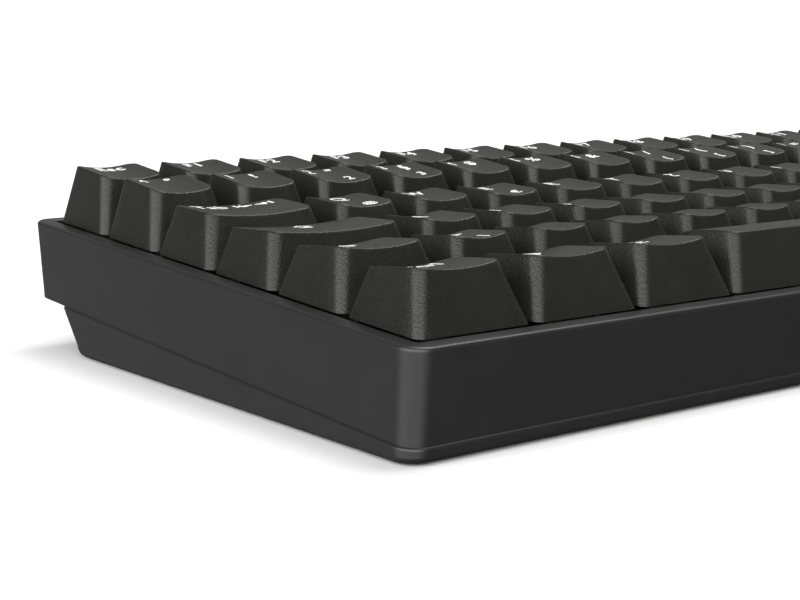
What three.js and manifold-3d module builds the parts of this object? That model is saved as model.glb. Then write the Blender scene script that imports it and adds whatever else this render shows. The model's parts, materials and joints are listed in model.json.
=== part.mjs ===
// A 75 % mechanical keyboard: two-part plastic case, steel switch plate, circuit board with its
// soldered switches, eighty-five sculpted keys, rubber pads, flip-out feet and a data port.
// Millimetres, +X to the right along the rows, +Y away from the typist, +Z up, origin on the desk
// under the middle of the case.
//
// Most of the keyboard is square to its key field, which slopes up towards the back. Those pieces
// are drawn in the deck frame: x runs along the rows from the field's left edge, y runs up the
// slope from its front edge, and z is the height above the line where the key skirts begin.
import * as THREE from "three";
import { mergeVertices } from "three/addons/utils/BufferGeometryUtils.js";
import Module from "manifold-3d";

const wasm = await Module();
wasm.setup();

// ---- Driving dimensions -------------------------------------------------------------------
const UNIT = 19.05; // pitch of one key
const ROW_COUNT = 6;
const FIELD_UNITS = 16;
const FIELD = { width: FIELD_UNITS * UNIT, depth: ROW_COUNT * UNIT };
const TILT = THREE.MathUtils.degToRad(3.46); // slope of the key field
const DECK_HEIGHT = 17.72; // desk to the front edge of the key field, at z = 0
const FIT = 0.3; // gap left between pieces that touch
const OVERLAP = 1; // how far a cutting tool reaches past the face it opens

// Case
const RIM_TOP = 0.4;
const SEAM = -14.6; // lower edge of the upper shell
const RIM_WIDTH = 3.5; // flat rim beside the keys
const KEY_MARGIN = 0.5; // window edge to the key field
const CASE_CORNER = 4;
const CASE_BACK = FIELD.depth + 3.3; // rear edge of the rim
const REAR_LEAN = Math.tan(THREE.MathUtils.degToRad(8.6)); // rear wall leans in on its way down
const WALL = 2.2;
const FLOOR = 2.0;
const SHELL_CLEARANCE = 0.4; // underside of the case above the desk
const STEP_Y = 106.3; // where the underside of the rear overhang meets the lower shell
const HEEL_Y = 100.6; // lower end of the slanted rear face
const HEEL_Z = -20.8;
const FLAT_END_Y = 97.2; // rear end of the flat underside

// Switches, plate and board
const TRAVEL = 4;
const PLATE_TOP = -6.6;
const PLATE_THICKNESS = 1.5;
const BOARD_TOP = PLATE_TOP - 5;
const BOARD_THICKNESS = 1.6;
const PLATE_HOLE = 14;
const HOUSING = { width: 13.4, topWidth: 10, top: 0, sunk: 0.2 };
const SLIDER = { width: 6, depth: 4.6, bottom: -4.6 };
const WELL_CLEARANCE = 0.4;
const WELL_BOTTOM = SLIDER.bottom - TRAVEL - 0.6;

// Keycaps
const CAP_GAP = 0.95; // between the skirts of neighbouring keys
const CAP_BOTTOM = -0.4;
const CAP_CORNER = 1.6;
const CAP_SIDE_INSET = 2.4; // of a top's rear corners; its front corners are set in further
const CAP_WALL = 1.3;
const CAP_ROOF = 5.3; // underside of the top
const DISH = 0.85;
const SPACE_CROWN = -0.5; // the space bar is crowned, not dished
const WEB_HEIGHT = 1;
const WEB_DEPTH = 8;

// Insets and heights of a key's top above z = 0, front row first. `side` is the inset of the
// front corners from the sides.
const PROFILES = [
  { frontInset: 4.4, backInset: 1.3, front: 10.15, back: 8.2, side: 3.2 },
  { frontInset: 4.4, backInset: 1.3, front: 10.1, back: 8.25, side: 3.1 },
  { frontInset: 4.1, backInset: 0.9, front: 9.45, back: 8.2, side: 2.9 },
  { frontInset: 4.3, backInset: 1.3, front: 9.5, back: 9.3, side: 2.75 },
  { frontInset: 4.3, backInset: 1.5, front: 11, back: 11.85, side: 2.6 },
  { frontInset: 4.4, backInset: 1.3, front: 11.05, back: 11.7, side: 2.6 },
];

// Key layout, front row first, each row from the left: names and widths in units. The keys under
// `single` move one by one, and those under `together` move as one piece with that name.
const ones = (names) => names.split(" ").map((name) => [name, 1]);
const ROWS = [
  {
    single: [["ctrl_left", 1.25], ["super", 1.25], ["alt_left", 1.25], ["space", 6.25]],
    together: { alt_gr_to_right_arrow: ones("alt_gr fn ctrl_right arrow_left arrow_down arrow_right") },
  },
  {
    single: [["shift_left", 1.25], ...ones("angle y x c v")],
    together: {
      b_to_end: [...ones("b n m comma period minus"), ["shift_right", 1.75], ...ones("arrow_up end")],
    },
  },
  {
    single: [["caps_lock", 1.75], ...ones("a s d f g h")],
    together: { j_to_hash: ones("j k l o_umlaut a_umlaut hash") },
  },
  {
    single: [["tab", 1.5], ...ones("q w e r t z u")],
    together: {
      i_to_plus: ones("i o p u_umlaut plus"),
      enter_to_page_down: [["enter", 1.5], ["page_up", 1]],
    },
  },
  {
    single: ones("caret 1 2 3 4 5 6 7"),
    together: { "8_to_home": [...ones("8 9 0 sharp_s acute"), ["backspace", 2], ...ones("home")] },
  },
  {
    single: ones("esc f1 f2 f3 f4 f5 f6 f7 f8"),
    together: { f9_to_delete: ones("f9 f10 f11 f12 print pause delete") },
  },
];
const ENTER_LOWER_UNITS = 1.25; // the lower half of the two-row enter key
const ENTER_ROW = 3;
const ENTER_GROUP = "enter_to_page_down";

// Feet, pads and port, measured from the left and from the front of the key field
const FOOT = { width: 25, length: 16.6, above: 1.4, below: 1.6, barrel: 1.7, pin: 0.9, pinReach: 1.8 };
const FOOT_X = 53;
const FOOT_Y = 92;
const FOOT_Z = 2.7;
const POCKET = { side: 0.5, tip: 0.6, rear: 2.4, ceiling: 5, wall: 2.4, pinHole: 1.25, pinEnd: 0.4 };
const PAD = { width: 25, depth: 7, thickness: 1.2, recess: 1.1, corner: 1.5 };
const PAD_X = 19.5;
const PAD_FRONT_Y = 4.5;
const PAD_REAR_Y = 90.5;
const PORT = { x: 80, face: 99, z: 5.6, width: 8.94, height: 3.26, length: 7.3, shell: 0.3 };
const PORT_TONGUE = { width: 6.7, height: 0.7, setback: 0.6 };
const PORT_BACK = 1.2;
const PORT_HOLE = { width: 13, height: 6.5, corner: 1.5, inside: 3, length: 20 };

// ---- Materials ----------------------------------------------------------------------------
function finish(colour, roughness, metalness) {
  return new THREE.MeshStandardMaterial({ color: colour, roughness, metalness });
}
const FINISH = {
  case: () => finish(0x3c3c3d, 0.55, 0),
  key: () => finish(0x3a3a36, 0.6, 0),
  plate: () => finish(0x6c6e70, 0.45, 0.9),
  board: () => finish(0x16301f, 0.5, 0.1),
  port: () => finish(0xb8babd, 0.3, 1),
  rubber: () => finish(0x161616, 0.9, 0),
};

// ---- Frames -------------------------------------------------------------------------------
const SIN = Math.sin(TILT);
const COS = Math.cos(TILT);

// Front and rear edges of the rim, carried to the desk frame, are the keyboard's full depth.
const CASE_FRONT = -KEY_MARGIN - RIM_WIDTH;
const MID_Y = ((CASE_FRONT + CASE_BACK) / 2) * COS - RIM_TOP * SIN;

// Deck frame to desk frame: turned by the slope, then moved over the desk.
const deckMatrix = new THREE.Matrix4()
  .makeTranslation(-FIELD.width / 2, -MID_Y, DECK_HEIGHT)
  .multiply(new THREE.Matrix4().makeRotationX(TILT));
const deskMatrix = deckMatrix.clone().invert();

// Deck z of the point at deck y that lies `height` above the desk.
const levelAt = (y, height) => (height - DECK_HEIGHT - y * SIN) / COS;

// ---- Shape helpers ------------------------------------------------------------------------
function toSolid(geometry) {
  const bare = geometry.clone();
  bare.deleteAttribute("normal");
  bare.deleteAttribute("uv");
  const merged = mergeVertices(bare, 1e-4);
  const mesh = new wasm.Mesh({
    numProp: 3,
    vertProperties: merged.attributes.position.array,
    triVerts: new Uint32Array(merged.index.array),
  });
  return new wasm.Manifold(mesh);
}

function toGeometry(solid) {
  const mesh = solid.getMesh();
  const geometry = new THREE.BufferGeometry();
  geometry.setAttribute("position", new THREE.BufferAttribute(mesh.vertProperties, 3));
  geometry.setIndex(new THREE.BufferAttribute(mesh.triVerts, 1));
  geometry.computeVertexNormals();
  return geometry;
}

function joined(solids) {
  return solids.reduce((whole, piece) => whole.add(piece));
}

function cut(solid, tools) {
  return tools.reduce((left, tool) => left.subtract(tool), solid);
}

function block(low, high) {
  const size = high.map((value, axis) => value - low[axis]);
  const middle = high.map((value, axis) => (value + low[axis]) / 2);
  return new THREE.BoxGeometry(...size).translate(...middle);
}

// A four-sided block whose base and top are different rectangles: [x0, x1, y0, y1, z].
function taperedBlock(base, top) {
  const geometry = new THREE.BoxGeometry(1, 1, 1);
  const place = geometry.attributes.position;
  for (let i = 0; i < place.count; i += 1) {
    const [x0, x1, y0, y1, z] = place.getZ(i) < 0 ? base : top;
    place.setXYZ(i, place.getX(i) < 0 ? x0 : x1, place.getY(i) < 0 ? y0 : y1, z);
  }
  return geometry;
}

function roundedOutline(x0, y0, x1, y1, radius) {
  const outline = new THREE.Shape();
  outline.absarc(x1 - radius, y0 + radius, radius, -Math.PI / 2, 0, false);
  outline.absarc(x1 - radius, y1 - radius, radius, 0, Math.PI / 2, false);
  outline.absarc(x0 + radius, y1 - radius, radius, Math.PI / 2, Math.PI, false);
  outline.absarc(x0 + radius, y0 + radius, radius, Math.PI, 1.5 * Math.PI, false);
  return outline;
}

function upright(outline, bottom, top, curveSegments) {
  const options = { depth: top - bottom, bevelEnabled: false, curveSegments };
  return new THREE.ExtrudeGeometry(outline, options).translate(0, 0, bottom);
}

// Extrudes a side view, drawn as (y, z), from x0 to x1.
function sideways(outline, x0, x1, curveSegments = 4) {
  const options = { depth: x1 - x0, bevelEnabled: false, curveSegments };
  const axes = new THREE.Matrix4().makeBasis(
    new THREE.Vector3(0, 1, 0),
    new THREE.Vector3(0, 0, 1),
    new THREE.Vector3(1, 0, 0),
  );
  return new THREE.ExtrudeGeometry(outline, options).applyMatrix4(axes).translate(x0, 0, 0);
}

function sideView(points) {
  return new THREE.Shape(points.map(([y, z]) => new THREE.Vector2(y, z)));
}

function rod(radius, length, sides) {
  return new THREE.CylinderGeometry(radius, radius, length, sides).rotateZ(Math.PI / 2);
}

function piece(name, solid, material) {
  const mesh = new THREE.Mesh(toGeometry(solid), material());
  mesh.name = name;
  return mesh;
}

// ---- Keys ---------------------------------------------------------------------------------
// A sculpted cap around its own centre: five columns of faces across its width give it cut
// corners and a dished top.
const COLUMNS = 5;
const DISH_COLUMN = 0.42;

function capOuter(width, depth, profile, dish) {
  const geometry = new THREE.BoxGeometry(width, depth, 2, COLUMNS, 1, 1);
  const place = geometry.attributes.position;
  const half = width / 2;
  const columnX = { 5: half, 3: half - CAP_CORNER, 1: DISH_COLUMN * (half - CAP_CORNER) };
  for (let i = 0; i < place.count; i += 1) {
    const column = Math.round((COLUMNS * Math.abs(place.getX(i))) / half);
    const x = Math.sign(place.getX(i)) * columnX[column];
    const side = Math.sign(place.getY(i));
    const y = side * (depth / 2 - (column === COLUMNS ? CAP_CORNER : 0));
    if (place.getZ(i) < 0) {
      place.setXYZ(i, x, y, CAP_BOTTOM);
      continue;
    }
    const along = (y + depth / 2) / depth;
    const topDepth = depth - profile.frontInset - profile.backInset;
    const topY = -depth / 2 + profile.frontInset + along * topDepth;
    const sideInset = THREE.MathUtils.lerp(profile.side, CAP_SIDE_INSET, along);
    const sag = dish * (1 - (x / half) ** 2);
    const height = THREE.MathUtils.lerp(profile.front, profile.back, along);
    place.setXYZ(i, x * (1 - sideInset / half), topY, height - sag);
  }
  return toSolid(geometry);
}

function capHollow(width, depth, profile) {
  const halfWidth = width / 2 - CAP_WALL;
  const front = -depth / 2 + CAP_WALL;
  const back = depth / 2 - CAP_WALL;
  const rise = (CAP_ROOF - CAP_BOTTOM) / (profile.front - CAP_BOTTOM);
  const side = halfWidth - profile.side * rise;
  const start = CAP_BOTTOM - 0.1;
  const top = [-side, side, front + profile.frontInset * rise, back - profile.backInset * rise];
  return toSolid(taperedBlock([-halfWidth, halfWidth, front, back, start], [...top, CAP_ROOF]));
}

function slider() {
  const { width, depth, bottom } = SLIDER;
  return toSolid(block([-width / 2, -depth / 2, bottom], [width / 2, depth / 2, CAP_ROOF + 0.2]));
}

function capSize(key) {
  return [key.units * UNIT - CAP_GAP, UNIT - CAP_GAP];
}

function plainKey(key) {
  const [width, depth] = capSize(key);
  const profile = PROFILES[key.row];
  const dish = key.name === "space" ? SPACE_CROWN : DISH;
  const outer = capOuter(width, depth, profile, dish);
  return outer.subtract(capHollow(width, depth, profile)).add(slider());
}

// The enter key fills 1.5 units of its own row and 1.25 units of the row in front of it. Its
// centre is the switch under the middle of the two-row part.
function enterKey(key) {
  const [upperWidth, upperDepth] = capSize(key);
  const tallWidth = ENTER_LOWER_UNITS * UNIT - CAP_GAP;
  const tallDepth = 2 * UNIT - CAP_GAP;
  const upperProfile = PROFILES[ENTER_ROW];
  const tallProfile = {
    ...PROFILES[ENTER_ROW - 1],
    back: upperProfile.back,
    backInset: upperProfile.backInset,
  };
  const shift = [(tallWidth - upperWidth) / 2, UNIT / 2, 0];
  const outer = joined([
    capOuter(tallWidth, tallDepth, tallProfile, DISH),
    capOuter(upperWidth, upperDepth, upperProfile, DISH).translate(shift),
  ]);
  const hollows = [
    capHollow(tallWidth, tallDepth, tallProfile),
    capHollow(upperWidth, upperDepth, upperProfile).translate(shift),
  ];
  return cut(outer, hollows).add(slider());
}

// Every key with its row, width in units, group, and the deck place of its switch.
function layOut() {
  const keys = [];
  ROWS.forEach(({ single, together }, row) => {
    let start = 0;
    const add = (names, group) => {
      names.forEach(([name, units]) => {
        const key = { name, units, row, group };
        key.x = (start + units / 2) * UNIT;
        key.y = (row + 0.5) * UNIT;
        if (name === "enter") {
          key.x = (start + units - ENTER_LOWER_UNITS / 2) * UNIT;
          key.y = row * UNIT;
        }
        keys.push(key);
        start += units;
      });
    };
    add(single, null);
    Object.entries(together).forEach(([group, names]) => add(names, group));
  });
  // The key beside the lower half of the enter key moves with the enter key.
  const besideEnter = { name: "page_down", units: 1, row: ENTER_ROW - 1, group: ENTER_GROUP };
  besideEnter.x = (FIELD_UNITS - 0.5) * UNIT;
  besideEnter.y = (ENTER_ROW - 0.5) * UNIT;
  keys.push(besideEnter);
  return keys;
}
const KEYS = layOut();

function keySolid(key) {
  return key.name === "enter" ? enterKey(key) : plainKey(key);
}

// A low web across the gap to the left of a grouped key, so that its row moves as one.
function web(leftEdge, y) {
  const reach = CAP_WALL / 2;
  const low = [leftEdge - CAP_GAP / 2 - reach, y - WEB_DEPTH / 2, CAP_BOTTOM];
  const high = [leftEdge + CAP_GAP / 2 + reach, y + WEB_DEPTH / 2, CAP_BOTTOM + WEB_HEIGHT];
  return toSolid(block(low, high));
}

function groupSolid(group) {
  const members = KEYS.filter((key) => key.group === group);
  const caps = members.map((key) => keySolid(key).translate([key.x, key.y, 0]));
  const webs = members.slice(1).map((key) => {
    const leftEdge = key.name === "enter"
      ? key.x + (ENTER_LOWER_UNITS / 2 - key.units) * UNIT
      : key.x - (key.units / 2) * UNIT;
    return web(leftEdge, (key.row + 0.5) * UNIT);
  });
  return joined([...caps, ...webs]);
}

function keyMeshes() {
  const singles = KEYS.filter((key) => key.group === null).map((key) => {
    const mesh = piece("key_" + key.name, keySolid(key), FINISH.key);
    mesh.position.set(key.x, key.y, 0);
    return mesh;
  });
  const names = ROWS.flatMap(({ together }) => Object.keys(together));
  const groups = names.map((name) => piece("keys_" + name, groupSolid(name), FINISH.key));
  return [...singles, ...groups];
}

// ---- Plate and board ----------------------------------------------------------------------
const INNER = { x: 1.8, back: 113.2 }; // the upper shell's cavity, outside the key field

function plateMesh() {
  const edge = INNER.x - FIT;
  const sheet = block(
    [-edge, -edge, PLATE_TOP - PLATE_THICKNESS],
    [FIELD.width + edge, INNER.back - FIT, PLATE_TOP],
  );
  const half = PLATE_HOLE / 2;
  const below = PLATE_TOP - PLATE_THICKNESS - OVERLAP;
  const holes = KEYS.map(({ x, y }) =>
    toSolid(block([x - half, y - half, below], [x + half, y + half, PLATE_TOP + OVERLAP])));
  return piece("switch_plate", cut(toSolid(sheet), holes), FINISH.plate);
}

function housing({ x, y }) {
  const half = HOUSING.width / 2;
  const topHalf = HOUSING.topWidth / 2;
  const lower = block(
    [x - half, y - half, BOARD_TOP - HOUSING.sunk],
    [x + half, y + half, PLATE_TOP],
  );
  const upper = taperedBlock(
    [x - half, x + half, y - half, y + half, PLATE_TOP],
    [x - topHalf, x + topHalf, y - topHalf, y + topHalf, HOUSING.top],
  );
  return toSolid(lower).add(toSolid(upper));
}

function well({ x, y }) {
  const halfWidth = SLIDER.width / 2 + WELL_CLEARANCE;
  const halfDepth = SLIDER.depth / 2 + WELL_CLEARANCE;
  return toSolid(block(
    [x - halfWidth, y - halfDepth, WELL_BOTTOM],
    [x + halfWidth, y + halfDepth, HOUSING.top + OVERLAP],
  ));
}

function boardMesh() {
  const edge = 1;
  const board = toSolid(block(
    [-edge, -edge, BOARD_TOP - BOARD_THICKNESS],
    [FIELD.width + edge, INNER.back - edge, BOARD_TOP],
  ));
  const populated = joined([board, ...KEYS.map(housing)]);
  return piece("circuit_board", cut(populated, KEYS.map(well)), FINISH.board);
}

// ---- Case ---------------------------------------------------------------------------------
const CASE_LEFT = -KEY_MARGIN - RIM_WIDTH;
const CASE_RIGHT = FIELD.width + KEY_MARGIN + RIM_WIDTH;
const CASE_CURVE = 5; // facets round a corner

// Moves the rear half of a body towards the front, further the lower it is.
function leanRear(geometry) {
  const place = geometry.attributes.position;
  for (let i = 0; i < place.count; i += 1) {
    if (place.getY(i) > FIELD.depth / 2) {
      place.setY(i, place.getY(i) - (RIM_TOP - place.getZ(i)) * REAR_LEAN);
    }
  }
  return geometry;
}

// Carries a shape drawn in the desk frame into the deck frame.
function fromDesk(geometry) {
  return toSolid(geometry.applyMatrix4(deskMatrix));
}

// Desk places of points given along the rows and up the slope.
const deskX = (x) => x - FIELD.width / 2;
const deskY = (y) => y - MID_Y;

function portHole() {
  const { width, height, corner, inside, length } = PORT_HOLE;
  const outline = roundedOutline(-width / 2, -height / 2, width / 2, height / 2, corner);
  const hole = upright(outline, 0, length, 2).rotateX(-Math.PI / 2);
  return hole.translate(deskX(PORT.x), deskY(PORT.face - inside), PORT.z);
}

function topCaseMesh() {
  const outline = roundedOutline(CASE_LEFT, CASE_FRONT, CASE_RIGHT, CASE_BACK, CASE_CORNER);
  const outer = toSolid(leanRear(upright(outline, SEAM, RIM_TOP, CASE_CURVE)));
  const lip = PLATE_TOP + FIT;
  const window = block(
    [-KEY_MARGIN, -KEY_MARGIN, lip - OVERLAP],
    [FIELD.width + KEY_MARGIN, FIELD.depth + KEY_MARGIN, RIM_TOP + OVERLAP],
  );
  const cavity = block(
    [-INNER.x, -INNER.x, SEAM - OVERLAP],
    [FIELD.width + INNER.x, INNER.back, lip],
  );
  return piece("top_case", cut(outer, [toSolid(window), toSolid(cavity)]), FINISH.case);
}

// The lower shell below the seam: a wedge with a slanted rear face and a rounded heel.
function lowerOuter() {
  const inset = 0.1;
  const front = CASE_FRONT + inset;
  const seam = SEAM - FIT;
  const profile = sideView([
    [front, seam],
    [front + 0.1, levelAt(front, SHELL_CLEARANCE + 0.6)],
    [front + 0.7, levelAt(front + 0.7, SHELL_CLEARANCE)],
    [FLAT_END_Y, levelAt(FLAT_END_Y, SHELL_CLEARANCE)],
    [HEEL_Y - 1.2, HEEL_Z - 1.5],
    [HEEL_Y, HEEL_Z],
    [STEP_Y, seam],
  ]);
  const left = CASE_LEFT + inset;
  const right = CASE_RIGHT - inset;
  const outline = roundedOutline(left, front, right, STEP_Y + CASE_CORNER, CASE_CORNER);
  const column = toSolid(upright(outline, -30, 0, CASE_CURVE));
  return toSolid(sideways(profile, left, right)).intersect(column);
}

// The part of the lower shell that plugs into the upper one, up to under the board.
function plug() {
  const edge = INNER.x - FIT;
  const top = BOARD_TOP - BOARD_THICKNESS - 0.5;
  return toSolid(block(
    [-edge, -edge, SEAM - 0.6],
    [FIELD.width + edge, INNER.back - FIT, top],
  ));
}

function tray() {
  const inside = 0.3;
  const roof = SEAM + 2;
  const floorAt = (y) => levelAt(y, SHELL_CLEARANCE + FLOOR);
  const profile = sideView([
    [-inside, roof],
    [-inside, floorAt(-inside)],
    [FLAT_END_Y - 2, floorAt(FLAT_END_Y - 2)],
    [HEEL_Y - WALL, HEEL_Z + 0.5],
    [STEP_Y - WALL, SEAM + 0.5],
    [STEP_Y - WALL, roof],
  ]);
  return toSolid(sideways(profile, -inside, FIELD.width + inside));
}

// A thick-walled box inside the shell, which a foot's pocket is cut into.
function pocketBoss(x) {
  const halfWidth = FOOT.width / 2 + POCKET.side + POCKET.wall;
  return fromDesk(block(
    [x - halfWidth, deskY(FOOT_Y - FOOT.length - POCKET.tip - POCKET.wall), SHELL_CLEARANCE + 1],
    [x + halfWidth, deskY(FOOT_Y + POCKET.rear + POCKET.wall), POCKET.ceiling + 1.6],
  ));
}

function pocket(x) {
  const halfWidth = FOOT.width / 2 + POCKET.side;
  return fromDesk(block(
    [x - halfWidth, deskY(FOOT_Y - FOOT.length - POCKET.tip), -OVERLAP],
    [x + halfWidth, deskY(FOOT_Y + POCKET.rear), POCKET.ceiling],
  ));
}

function pinHole(x) {
  const length = FOOT.width + 2 * (FOOT.pinReach + POCKET.pinEnd);
  return fromDesk(rod(POCKET.pinHole, length, 12).translate(x, deskY(FOOT_Y), FOOT_Z));
}

function padOutline(grow) {
  const halfWidth = PAD.width / 2 + grow;
  const halfDepth = PAD.depth / 2 + grow;
  return roundedOutline(-halfWidth, -halfDepth, halfWidth, halfDepth, PAD.corner + grow);
}

const SIDES = { left: -1, right: 1 };
const mirroredX = (x, side) => side * -deskX(x);
const PADS = [
  ["front_left_pad", SIDES.left, PAD_FRONT_Y],
  ["front_right_pad", SIDES.right, PAD_FRONT_Y],
  ["rear_left_pad", SIDES.left, PAD_REAR_Y],
  ["rear_right_pad", SIDES.right, PAD_REAR_Y],
];

function padRecess([, side, y]) {
  const recess = upright(padOutline(FIT), -OVERLAP, SHELL_CLEARANCE + PAD.recess, 3);
  return fromDesk(recess.translate(mirroredX(PAD_X, side), deskY(y), 0));
}

function bottomCaseMesh() {
  const hollow = joined([lowerOuter(), plug()]).subtract(tray());
  const feet = Object.values(SIDES).map((side) => mirroredX(FOOT_X, side));
  const solid = joined([hollow, ...feet.map(pocketBoss)]);
  const cuts = [...feet.map(pocket), ...feet.map(pinHole), ...PADS.map(padRecess)];
  return piece("bottom_case", cut(solid, [...cuts, fromDesk(portHole())]), FINISH.case);
}

// ---- Feet, pads and port ------------------------------------------------------------------
function footMesh(name, side) {
  const profile = new THREE.Shape();
  profile.moveTo(0, FOOT.barrel);
  profile.lineTo(-FOOT.barrel, FOOT.above);
  profile.lineTo(-FOOT.length, FOOT.above);
  profile.lineTo(-FOOT.length, -FOOT.below / 2);
  profile.lineTo(-FOOT.length + 0.8, -FOOT.below);
  profile.lineTo(-FOOT.barrel, -FOOT.below);
  profile.lineTo(0, -FOOT.barrel);
  profile.absarc(0, 0, FOOT.barrel, -Math.PI / 2, Math.PI / 2, false);
  const blade = toSolid(sideways(profile, -FOOT.width / 2, FOOT.width / 2, 6));
  const pin = toSolid(rod(FOOT.pin, FOOT.width + 2 * FOOT.pinReach, 10));
  const mesh = piece(name, blade.add(pin), FINISH.case);
  mesh.position.set(mirroredX(FOOT_X, side), deskY(FOOT_Y), FOOT_Z);
  return mesh;
}

function padMesh([name, side, y]) {
  const mesh = piece(name, toSolid(upright(padOutline(0), 0, PAD.thickness, 3)), FINISH.rubber);
  mesh.position.set(mirroredX(PAD_X, side), deskY(y), 0);
  return mesh;
}

// A receptacle with round ends, open to the back, with a contact tongue inside.
function portMesh() {
  const { width, height, length, shell } = PORT;
  const stadium = (inset) => {
    const x = width / 2 - inset;
    const z = height / 2 - inset;
    return roundedOutline(-x, -z, x, z, z - 0.01);
  };
  const tongueX = PORT_TONGUE.width / 2;
  const tongueZ = PORT_TONGUE.height / 2;
  const body = toSolid(upright(stadium(0), 0, length, 4));
  const mouth = toSolid(upright(stadium(shell), -OVERLAP, length - PORT_BACK, 4));
  const tongue = toSolid(block(
    [-tongueX, -tongueZ, PORT_TONGUE.setback],
    [tongueX, tongueZ, length - PORT_BACK / 2],
  ));
  const mesh = piece("usb_port", body.subtract(mouth).add(tongue), FINISH.port);
  mesh.rotation.x = Math.PI / 2;
  mesh.position.set(deskX(PORT.x), deskY(PORT.face), PORT.z);
  return mesh;
}

// ---- Assembly -----------------------------------------------------------------------------
const deck = new THREE.Group();
deck.rotation.x = TILT;
deck.position.set(-FIELD.width / 2, -MID_Y, DECK_HEIGHT);
deck.add(topCaseMesh(), bottomCaseMesh(), plateMesh(), boardMesh(), ...keyMeshes());

const keyboard = new THREE.Group();
keyboard.add(
  deck,
  footMesh("left_foot", SIDES.left),
  footMesh("right_foot", SIDES.right),
  ...PADS.map(padMesh),
  portMesh(),
);

export default keyboard;
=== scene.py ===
# %% [markdown]
# # A compact mechanical keyboard
#
# The measured model comes first. It says where every part is and how it moves, and all that is
# made here fits around it.

# %% Load the measured model
import json
import math

import bmesh
import bpy
import numpy as np
from mathutils import Matrix, Vector


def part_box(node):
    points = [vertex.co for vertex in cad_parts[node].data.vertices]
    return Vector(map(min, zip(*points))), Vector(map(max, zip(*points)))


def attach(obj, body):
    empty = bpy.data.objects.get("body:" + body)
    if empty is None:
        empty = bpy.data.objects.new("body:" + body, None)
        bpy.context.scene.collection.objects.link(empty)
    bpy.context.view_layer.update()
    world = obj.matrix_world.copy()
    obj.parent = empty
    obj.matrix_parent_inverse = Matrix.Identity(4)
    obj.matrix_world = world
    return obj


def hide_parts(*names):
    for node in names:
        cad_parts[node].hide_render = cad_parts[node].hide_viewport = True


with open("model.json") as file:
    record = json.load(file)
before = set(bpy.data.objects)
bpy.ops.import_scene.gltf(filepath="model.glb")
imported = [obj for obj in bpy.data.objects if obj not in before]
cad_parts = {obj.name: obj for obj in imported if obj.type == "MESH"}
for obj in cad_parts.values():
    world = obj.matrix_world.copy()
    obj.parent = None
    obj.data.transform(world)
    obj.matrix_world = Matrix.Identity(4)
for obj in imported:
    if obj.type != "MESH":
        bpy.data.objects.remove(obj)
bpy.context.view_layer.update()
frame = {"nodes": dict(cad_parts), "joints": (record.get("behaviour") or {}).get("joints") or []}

# %% [markdown]
# Most of the keyboard is square to its key field, which slopes up towards the back. It is easiest
# to draw there: x along the rows from the field's left edge, y up the slope from its front edge,
# z square to both, from the tops of the switch housings, all in millimetres. One matrix carries
# such a drawing to the desk, in metres. The slope comes from the way the keys travel, and the
# place from the top of the case's rear edge.

# %% The sloping frame of the key field
UNIT = 19.05
FIELD_WIDTH = 16 * UNIT
FIELD_DEPTH = 6 * UNIT
RIM_TOP = 0.4
CASE_BACK = FIELD_DEPTH + 3.3
MM = 0.001

press_axis = next(j["axis"] for j in frame["joints"] if j["name"] == "key_esc_press")
tilt = math.atan2(press_axis[1], -press_axis[2])
case_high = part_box("top_case")[1]
mid_y = CASE_BACK * math.cos(tilt) - RIM_TOP * math.sin(tilt) - case_high.y / MM
deck_height = case_high.z / MM - CASE_BACK * math.sin(tilt) - RIM_TOP * math.cos(tilt)
DECK_MM = Matrix.Translation((-FIELD_WIDTH / 2, -mid_y, deck_height)) @ Matrix.Rotation(tilt, 4, "X")
DECK = Matrix.Scale(MM, 4) @ DECK_MM
print(f"slope {math.degrees(tilt):.2f} degrees, front edge {deck_height:.2f} mm above the desk")

# %% [markdown]
# The camera stands low, beyond the front left corner, and looks across the rows of keys. A long
# lens keeps the far keys from shrinking too fast. Its place and its turn are given in the sloping
# frame, like everything else: the heading is measured from straight up the slope towards the
# right.

# %% The camera
CAMERA_PLACE = Vector((-142.30, -170.66, 54.24))
HEADING = math.radians(39.09)
PITCH = math.radians(-12.154)
ROLL = math.radians(-2.558)

forward = Vector((
    math.cos(PITCH) * math.sin(HEADING),
    math.cos(PITCH) * math.cos(HEADING),
    math.sin(PITCH),
))
level_right = forward.cross(Vector((0, 0, 1))).normalized()
level_down = forward.cross(level_right)
right = math.cos(ROLL) * level_right + math.sin(ROLL) * level_down
down = math.cos(ROLL) * level_down - math.sin(ROLL) * level_right
turn = Matrix((right, -down, -forward)).transposed()

camera_data = bpy.data.cameras.new("camera")
camera_data.sensor_width = 36
camera_data.lens = 71.08
camera_data.clip_start = 0.01
camera = bpy.data.objects.new("camera", camera_data)
camera.matrix_world = (
    Matrix.Translation(DECK @ CAMERA_PLACE) @ (DECK_MM.to_3x3() @ turn).to_4x4()
)
bpy.context.scene.collection.objects.link(camera)
bpy.context.scene.camera = camera
print("camera at", [round(v, 3) for v in camera.location])

# %% [markdown]
# Node trees are long to write out by hand. This small class holds a socket and gives it ordinary
# arithmetic, so that `a * 2 + b` adds the Math nodes itself. It serves the shader trees and the
# Geometry Nodes trees alike, because both use the same Math node.

# %% Sockets that do arithmetic
class Wire:
    def __init__(self, socket):
        self.socket = socket
        self.tree = socket.id_data

    def math(self, operation, *others, clamp=False):
        node = self.tree.nodes.new("ShaderNodeMath")
        node.operation = operation
        node.use_clamp = clamp
        for target, value in zip(node.inputs, (self, *others)):
            connect(target, value)
        return Wire(node.outputs[0])

    def __add__(self, other):
        return self.math("ADD", other)

    def __sub__(self, other):
        return self.math("SUBTRACT", other)

    def __rsub__(self, other):
        return self.math("MULTIPLY_ADD", -1.0, other)

    def __mul__(self, other):
        return self.math("MULTIPLY", other)

    def __truediv__(self, other):
        return self.math("DIVIDE", other)

    __radd__ = __add__
    __rmul__ = __mul__


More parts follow.
